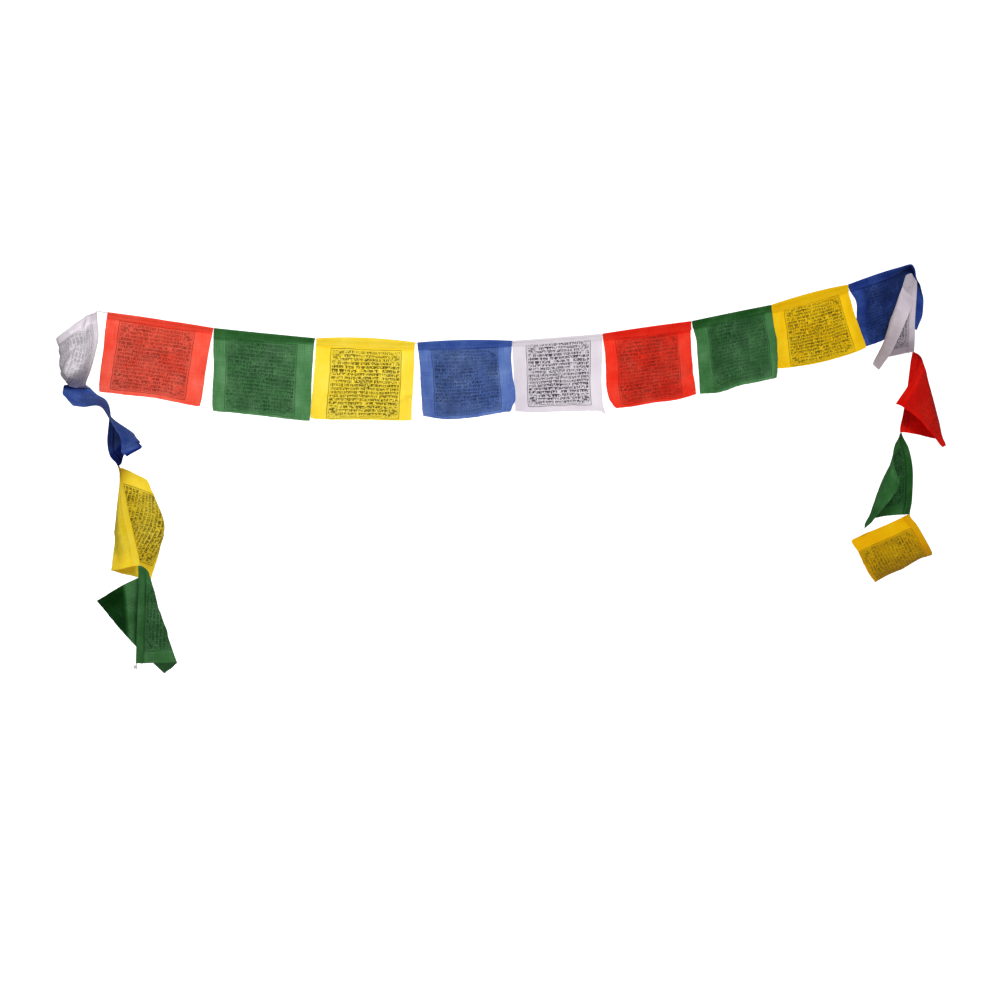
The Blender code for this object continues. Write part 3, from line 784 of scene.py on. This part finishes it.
def block_print(tree):
    """The whole printed block: frame lines, rows of strokes, a middle figure and four corner ones."""
    straight_x, straight_y = flat_place(tree, "block")
    x = straight_x + (speckle(straight_x * 0.05, straight_y * 0.05, 41.0) - 0.5) * 2.0
    y = straight_y + (speckle(straight_x * 0.04, straight_y * 0.04, 43.0) - 0.5) * 3.0
    middle_x, middle_y = (PRINT_LEFT + PRINT_RIGHT) / 2, (PRINT_TOP + PRINT_BOTTOM) / 2
    side = (x - middle_x).math("ABSOLUTE")
    level = (y - middle_y).math("ABSOLUTE")
    inside = (side * -1 + (PRINT_RIGHT - middle_x)).least(level * -1 + (PRINT_BOTTOM - middle_y))
    border = inside.line_at(0.0, 0.5, 0.3).most(inside.line_at(1.9, 0.2, 0.3) * 0.4)

    emblem, emblem_reach = figure(x - middle_x, y - middle_y, 9.0, 5.0)
    corner_x = (PRINT_RIGHT - middle_x) - 12
    corner_y = (PRINT_BOTTOM - middle_y) - 12
    corner, corner_reach = figure(side - corner_x, level - corner_y, 8.5, 15.0)

    clear = emblem_reach.rise(0.8, 0.3).least(corner_reach.rise(1.0, 0.2)).least(inside.rise(2.4, 0.6))
    ink = (script_rows(x, y) * clear).most(emblem).most(corner * 0.9).most(border)
    lot = attribute(tree, "lot") * LOT_STEP
    patchy = speckle(x * 0.035, y * 0.035, lot + 61.0, 2.0) * 1.1 + 0.42
    grain = speckle(x * 1.1, y * 1.1, 71.0) * 0.5 + 0.75
    smudge = speckle(x * 0.04, y * 0.05, lot + 65.0, 3.0).rise(0.54, 0.3) * inside.rise(1.0, 3.0)
    haze = (smudge * 0.55 + inside.rise(0.5, 2.0) * (clear * 0.4 + 0.6) * 0.45) * attribute(tree, "haze")
    marks = ink * patchy * grain * attribute(tree, "ink")
    return marks.most(haze).math("ADD", 0.0, clamp=True)


def mixed(tree, amount, first, second):
    return node(tree, "ShaderNodeMix", {0: amount, 6: first, 7: second}, data_type="RGBA").outputs[2]


def shaded(colour, share):
    return tuple(channel * share for channel in colour)


def voile(colour):
    """Thin plain-woven cotton, dyed one colour and block printed on one side."""
    dye = DYES[colour]
    material, tree, shader = new_finish(f"{colour}_printed_voile")
    x, y = flat_place(tree)

    ink = block_print(tree) * y.rise(3.0, 1.0)
    warp = speckle(x * 2.2, y * 0.05, 81.0) + speckle(x * 0.05, y * 2.2, 83.0)
    slub = speckle(x * 0.9, y * 0.02, 85.0) + speckle(x * 0.02, y * 0.9, 87.0)
    cloudy = speckle(x * 0.03, y * 0.03, attribute(tree, "lot") * LOT_STEP + 91.0, 3.0)
    # Painted shade: the casing, where the cloth lies double, is dyed a little stronger so that it looks
    # darker
    flap_painted_shade = (y * -1).rise(-1.0, 1.0)
    uneven = (warp - 1.0) * 0.3 + (slub - 1.0) * 0.22 + (cloudy - 0.5) * 0.7 + flap_painted_shade * 0.15 + 1.0
    # The dye attribute also carries painted light and shade
    strength = uneven * attribute(tree, "dye")
    base = node(tree, "ShaderNodeGamma", {"Color": (*dye.cloth, 1), "Gamma": strength})
    tint = mixed(tree, ink, base.outputs[0], (*dye.ink, 1))

    weave = (x * WEAVE_TURN).math("SINE") * (y * WEAVE_TURN).math("SINE")
    bump = node(tree, "ShaderNodeBump", {"Strength": 0.35, "Distance": 0.1 * MM, "Height": weave + warp})
    surface = {
        "Base Color": tint,
        "Normal": bump.outputs[0],
        "Roughness": ink * -0.2 + 0.92,
        "Specular IOR Level": 0.08,
    }
    fill(tree, shader, surface)
    glow = node(tree, "ShaderNodeBsdfTranslucent", {"Color": tint})
    both = node(tree, "ShaderNodeMixShader", {0: dye.glow, 1: shader.outputs[0], 2: glow.outputs[0]})
    fill(tree, tree.nodes["Material Output"], {"Surface": both.outputs[0]})
    return material


def plain_finish(name, colour, roughness, fleck):
    """Spun cotton with light and dark fibres."""
    material, tree, shader = new_finish(name)
    place = node(tree, "ShaderNodeTexCoord").outputs["Object"]
    fibres = node(tree, "ShaderNodeTexNoise", {"Vector": place, "Scale": 900, "Detail": 3}).outputs[0]
    bump = node(tree, "ShaderNodeBump", {"Strength": 0.5, "Distance": 0.2 * MM, "Height": fibres})
    surface = {
        "Base Color": mixed(tree, fibres, (*shaded(colour, 1 - fleck), 1), (*colour, 1)),
        "Normal": bump.outputs[0],
        "Roughness": roughness,
        "Sheen Weight": 0.2,
    }
    fill(tree, shader, surface)
    return material


# Cord, sewing and loose threads


def nodes_group(name, sizes):
    """A geometry tree with one mesh input and named number inputs."""
    tree = bpy.data.node_groups.new(name, "GeometryNodeTree")
    tree.interface.new_socket("Geometry", in_out="INPUT", socket_type="NodeSocketGeometry")
    tree.interface.new_socket("Geometry", in_out="OUTPUT", socket_type="NodeSocketGeometry")
    for key, value in sizes.items():
        socket = tree.interface.new_socket(key, in_out="INPUT", socket_type="NodeSocketFloat")
        socket.default_value = value
    return tree, tree.nodes.new("NodeGroupInput"), tree.nodes.new("NodeGroupOutput")


def baked(name, source, tree, material, sizes=None):
    """Runs a geometry tree on a mesh and keeps the plain mesh that it makes."""
    carrier = add_piece(f"{name}_source", source)
    modifier = carrier.modifiers.new("shape", "NODES")
    modifier.node_group = tree
    for item in tree.interface.items_tree:
        if item.in_out == "INPUT" and item.name in (sizes or {}):
            modifier[item.identifier] = sizes[item.name]
    evaluated = carrier.evaluated_get(bpy.context.evaluated_depsgraph_get())
    mesh = bpy.data.meshes.new_from_object(evaluated)
    mesh.name = name
    bpy.data.objects.remove(carrier, do_unlink=True)
    return add_piece(name, mesh, material)


def polyline(name, lines):
    """A mesh of bare edges, one chain for each line of points."""
    vertices = []
    edges = []
    for line in lines:
        first = len(vertices)
        vertices.extend(tuple(point) for point in line)
        edges.extend((i, i + 1) for i in range(first, len(vertices) - 1))
    mesh = bpy.data.meshes.new(name)
    mesh.from_pydata(vertices, edges, [])
    return mesh


def even_points(tree, group_in, step):
    """The mesh's lines as curves, with points spaced evenly by the named input."""
    path = node(tree, "GeometryNodeMeshToCurve", {"Mesh": group_in.outputs["Geometry"]})
    spacing = {"Curve": path.outputs[0], "Length": group_in.outputs[step]}
    return node(tree, "GeometryNodeResampleCurve", spacing, mode="LENGTH").outputs[0]


def tube_round(tree, curve, sides, radius, caps=False):
    profile = node(tree, "GeometryNodeCurvePrimitiveCircle", {"Resolution": sides, "Radius": radius})
    inputs = {"Curve": curve, "Profile Curve": profile.outputs[0], "Fill Caps": caps}
    return node(tree, "GeometryNodeCurveToMesh", inputs).outputs[0]


def smoothed(tree, geometry):
    return node(tree, "GeometryNodeSetShadeSmooth", {"Geometry": geometry}).outputs[0]


def hand_out(tree, group_out, geometry, material):
    """Makes instances real, gives them their material and ends the tree."""
    real = node(tree, "GeometryNodeRealizeInstances", {"Geometry": geometry})
    dressed = node(tree, "GeometryNodeSetMaterial", {"Geometry": real.outputs[0], "Material": material})
    tree.links.new(dressed.outputs[0], group_out.inputs[0])
    return tree


def plied_cord_tree(material):
    """Three strands twisted round the path."""
    sizes = {"Strand radius": 0.55 * MM, "Lay radius": 0.5 * MM, "Pitch": 8 * MM, "Step": 0.9 * MM}
    tree, group_in, group_out = nodes_group("plied_cord", sizes)
    even = even_points(tree, group_in, "Step")
    along = node(tree, "GeometryNodeSplineParameter")
    tangent = node(tree, "GeometryNodeInputTangent")
    normal = node(tree, "GeometryNodeInputNormal")
    turns = Field(tree, along.outputs["Length"]).math("DIVIDE", Field(tree, group_in.outputs["Pitch"]))
    join = node(tree, "GeometryNodeJoinGeometry")
    for strand in range(3):
        angle = (turns + strand / 3) * (2 * math.pi)
        inputs = {"Vector": normal.outputs[0], "Axis": tangent.outputs[0], "Angle": angle}
        turned = node(tree, "ShaderNodeVectorRotate", inputs, rotation_type="AXIS_ANGLE")
        inputs = {0: turned.outputs[0], "Scale": group_in.outputs["Lay radius"]}
        offset = node(tree, "ShaderNodeVectorMath", inputs, operation="SCALE")
        moved = node(tree, "GeometryNodeSetPosition", {"Geometry": even, "Offset": offset.outputs[0]})
        tube = tube_round(tree, moved.outputs[0], 6, group_in.outputs["Strand radius"], caps=True)
        tree.links.new(tube, join.inputs[0])
    return hand_out(tree, group_out, smoothed(tree, join.outputs[0]), material)


def end_knot(place, along):
    """The cord's path through a small overhand knot that leads on in the same direction."""
    side = unit(np.cross(along, UP))
    out = np.cross(side, along)
    x = np.sin(KNOT_TURN) + 2 * np.sin(2 * KNOT_TURN)
    y = np.cos(KNOT_TURN) - 2 * np.cos(2 * KNOT_TURN)
    forward = (y * math.sin(math.radians(60)) - x * 0.5)[:, None] * along
    sideways = (x * math.sin(math.radians(60)) + y * 0.5 - 3)[:, None] * side
    over = -np.sin(3 * KNOT_TURN)[:, None] * out
    return place + KNOT_SCALE * (forward + sideways + over)


def cord_piece(route, starts, material):
    """The plied cord with a knot at each end, and the points that it follows."""
    first = starts[1] - FLAG_GAP
    last = starts[17] + FLAG_WIDTH + FLAG_GAP
    middle = route.at(np.arange(first, last, 1.5 * MM))
    before, after = -route.direction(first), route.direction(last)
    left = end_knot(route.at(first) + before * KNOT_LENGTH, before)
    right = end_knot(route.at(last) + after * KNOT_LENGTH, after)
    left_tip = left[-1] + before * KNOT_LENGTH + UP * -1 * MM
    right_tip = right[-1] + after * KNOT_LENGTH + UP * -2 * MM
    path = np.concatenate([[left_tip], left[::-1], middle, right, [right_tip]])
    piece = baked("cord_plied", polyline("cord_path", [path]), plied_cord_tree(material), material)
    return piece, path


def loose_thread_tree(material):
    """Fine bent threads that stand off a raw edge here and there."""
    sizes = {"Spacing": 4 * MM, "Share": 0.4, "Thread radius": 0.085 * MM}
    tree, group_in, group_out = nodes_group("loose_threads", sizes)
    even = even_points(tree, group_in, "Spacing")
    bent = {
        "Resolution": 7,
        "Start": (0, 0, 0),
        "Middle": (1.6 * MM, 0, -3 * MM),
        "End": (0.4 * MM, 1.8 * MM, -6.5 * MM),
    }
    bend = node(tree, "GeometryNodeCurveQuadraticBezier", bent)
    thread = tube_round(tree, bend.outputs[0], 3, group_in.outputs["Thread radius"])
    chosen = node(tree, "FunctionNodeRandomValue", {6: group_in.outputs["Share"], 8: 3}, data_type="BOOLEAN")
    tilts = {0: (-0.7, -0.7, 0), 1: (0.7, 0.7, 2 * math.pi), 8: 5}
    turned = node(tree, "FunctionNodeRandomValue", tilts, data_type="FLOAT_VECTOR")
    grown = node(tree, "FunctionNodeRandomValue", {2: 0.2, 3: 1.0, 8: 7}, data_type="FLOAT")
    inputs = {
        "Points": even,
        "Selection": chosen.outputs[3],
        "Instance": thread,
        "Rotation": turned.outputs[0],
        "Scale": grown.outputs[1],
    }
    placed = node(tree, "GeometryNodeInstanceOnPoints", inputs)
    return hand_out(tree, group_out, placed.outputs[0], material)


def stitch_tree(material):
    """Short raised stitches spaced evenly along each seam line."""
    sizes = {"Spacing": 2.9 * MM, "Stitch length": 2.2 * MM, "Thread radius": 0.17 * MM}
    tree, group_in, group_out = nodes_group("seam_stitches", sizes)
    even = even_points(tree, group_in, "Spacing")
    tangent = node(tree, "GeometryNodeInputTangent")
    turn = node(tree, "FunctionNodeAlignRotationToVector", {"Vector": tangent.outputs[0]}, axis="Z")
    inputs = {
        "Vertices": 5,
        "Side Segments": 2,
        "Radius": group_in.outputs["Thread radius"],
        "Depth": group_in.outputs["Stitch length"],
    }
    thread = smoothed(tree, node(tree, "GeometryNodeMeshCylinder", inputs).outputs["Mesh"])
    inputs = {"Points": even, "Instance": thread, "Rotation": turn.outputs[0]}
    placed = node(tree, "GeometryNodeInstanceOnPoints", inputs)
    return hand_out(tree, group_out, placed.outputs[0], material)


def raw_edges(grid):
    """The hem and both side edges of a flag."""
    body = grid[:, FLAP_ROWS + TURN_ROWS :]
    return [body[:, -1], body[0, 4:], body[-1, 4:]]


def seam_lines(grid):
    """Where the casing's seam shows: on the flap, and on the back of the cloth behind it."""
    flap = grid[:, 1]
    down = unit(grid[:, 0] - grid[:, 1])
    out = unit(np.cross(down, np.gradient(grid[:, 1], axis=0)))
    front = flap + out * 0.2 * MM
    body = grid[:, FLAP_ROWS + TURN_ROWS :]
    gaps = np.linalg.norm(body - flap[:, None], axis=2)
    behind = body[np.arange(len(body)), gaps.argmin(axis=1)] - out * 0.2 * MM
    return [front, behind]


# The string


def dress():
    camera()
    route, left_pin_at = cord_route()
    starts = casing_starts(left_pin_at)
    cord_finish = plain_finish("plied_cotton", CORD_COLOUR, 0.9, 0.35)
    cord, path = cord_piece(route, starts, cord_finish)
    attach(cord, "root")
    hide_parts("cord")

    finishes = {colour: voile(colour) for colour in COLOUR_ORDER}
    seams = {colour: [] for colour in COLOUR_ORDER}
    edges = {colour: [] for colour in COLOUR_ORDER}
    for number, start in starts.items():
        colour = COLOUR_ORDER[(number - 1) % len(COLOUR_ORDER)]
        node_name = f"flag_{number:02d}_{colour}"
        grid, flat = flag_surface(number, route, start)
        mesh = cloth_mesh(f"{node_name}_cloth", number, grid, flat)
        flag = add_piece(f"{node_name}_cloth", mesh, finishes[colour])
        seams[colour] += seam_lines(grid)
        edges[colour] += raw_edges(grid)
        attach(flag, "root")
        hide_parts(node_name)

    for colour, lines in seams.items():
        cloth = DYES[colour].cloth
        dark = plain_finish(f"{colour}_thread", shaded(cloth, 0.6), 0.8, 0.3)
        stitches = baked(f"{colour}_stitches", polyline("seam_lines", lines), stitch_tree(dark), dark)
        pale = plain_finish(f"{colour}_fibre", shaded(cloth, 0.9), 0.9, 0.2)
        fray = baked(f"{colour}_fray", polyline("raw_edges", edges[colour]), loose_thread_tree(pale), pale)
        for piece in (stitches, fray):
            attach(piece, "root")
    tips = polyline("cord_tips", [[tip - UP * 0.1 * MM, tip + UP * MM] for tip in (path[0], path[-1])])
    tip_sizes = {"Spacing": 0.09 * MM, "Share": 0.9}
    tuft = baked("cord_tufts", tips, loose_thread_tree(cord_finish), cord_finish, tip_sizes)
    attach(tuft, "root")


def lit_paper():
    """White paper that is lit a little from behind."""
    material, tree, shader = new_finish("lit_paper")
    surface = {
        "Base Color": (0.9, 0.9, 0.9, 1),
        "Roughness": 0.9,
        "Emission Color": (1, 1, 1, 1),
        "Emission Strength": 0.9,
    }
    fill(tree, shader, surface)
    return material


def studio():
    """A white floor that sweeps up into a white wall, under soft light from the upper left."""
    reach, floor_z, wall_y, wall_top, bend, steps = 7.0, -1.15, 3.4, 6.0, 1.2, 12
    profile = [(-reach, 0.0), (wall_y - bend, 0.0)]
    for step in range(1, steps + 1):
        angle = math.radians(90 * step / steps)
        profile.append((wall_y - bend + bend * math.sin(angle), bend * (1 - math.cos(angle))))
    profile.append((wall_y, wall_top))
    vertices = [(x, y, floor_z + z) for y, z in profile for x in (-reach, reach)]
    faces = [(2 * i, 2 * i + 1, 2 * i + 3, 2 * i + 2) for i in range(len(profile) - 1)]
    mesh = bpy.data.meshes.new("sweep")
    mesh.from_pydata(vertices, [], faces)
    mesh.shade_smooth()
    sweep = add_piece("sweep", mesh, lit_paper())
    sweep.visible_diffuse = False

    world = bpy.data.worlds.new("studio")
    world.use_nodes = True
    background = world.node_tree.nodes["Background"]
    background.inputs["Color"].default_value = (1, 1, 1, 1)
    background.inputs["Strength"].default_value = 0.29
    bpy.context.scene.world = world
    aim = Vector((0.7, 0, -0.1))
    for name, place, size, power in (
        ("key", (0.25, -2.3, 1.2), 0.5, 70),
        ("fill", (-2.2, -2.0, 0.8), 2.2, 8),
        ("back", (0.5, 2.0, 1.6), 2.0, 26),
    ):
        light = bpy.data.lights.new(name, "AREA")
        light.energy = power
        light.size = size
        lamp = bpy.data.objects.new(name, light)
        lamp.location = place
        lamp.rotation_euler = (aim - Vector(place)).to_track_quat("-Z", "Y").to_euler()
        bpy.context.collection.objects.link(lamp)


dress()
studio()
